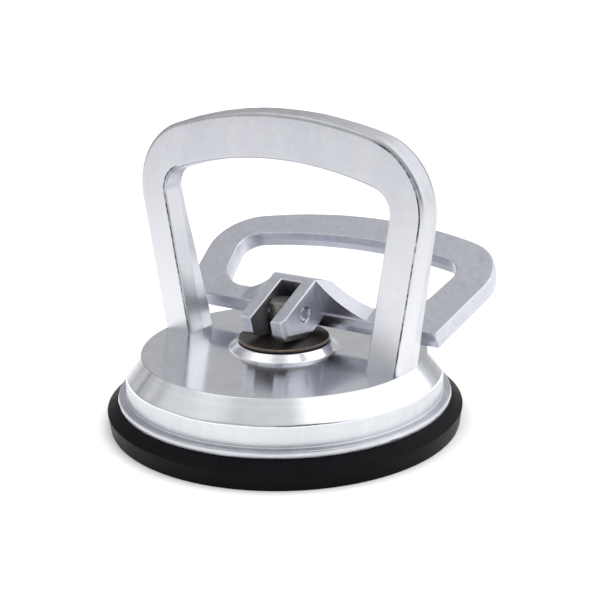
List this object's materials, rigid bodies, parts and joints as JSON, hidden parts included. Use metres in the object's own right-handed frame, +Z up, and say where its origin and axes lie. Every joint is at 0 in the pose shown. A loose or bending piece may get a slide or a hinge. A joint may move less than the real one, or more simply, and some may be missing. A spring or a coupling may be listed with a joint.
{
  "type": "vacuum suction cup",
  "caption": "Hand vacuum lifter: a rubber pad under a round cast base with a fixed carrying handle, and a flip lever whose cams pull the pad's middle up.",
  "frame": {"origin": "on the pad's axis, on the plane of the seal ring that stands on the work", "axes": "+Z up the pad's axis, X along the carrying handle and the pivot pin, +Y towards the lever's free end at rest"},
  "size_m": [0.118, 0.118, 0.1017],
  "materials": {
    "cast_aluminium": "die cast, turned on the rim and deck",
    "lever_aluminium": "die cast, matte",
    "pin_steel": "ground",
    "stud_steel": "turned, zinc plated",
    "washer_plastic": "dark brown fibre, smooth",
    "pad_rubber": "moulded, matte",
    "plate_steel": "rolled sheet",
    "nut_steel": "zinc plated",
    "spring_steel": "oil tempered"
  },
  "bodies": {
    "base": {"body_casting": "cast_aluminium", "wear_washer": "washer_plastic", "rubber_pad": "pad_rubber", "return_spring": "spring_steel"},
    "stud": {"pull_stud": "stud_steel", "weld_nut": "nut_steel", "jam_nut": "nut_steel", "insert_plate": "plate_steel"},
    "lever": {"cam_lever": "lever_aluminium", "pivot_pin": "pin_steel"}
  },
  "joints": [
    {"name": "stud_lift", "type": "slide", "parent": "base", "child": "stud", "axis": [0, 0, 1], "range_m": [0, 0.0049], "deforming": ["return_spring"]},
    {"name": "lever_flip", "type": "hinge", "parent": "stud", "child": "lever", "pos_m": [0, 0, 0.0358], "axis": [1, 0, 0], "range_deg": [0, 63.3]}
  ],
  "couplings": [
    {"joint": "stud_lift", "follows": "lever_flip", "m_per_rad": 0.004435}
  ]
}
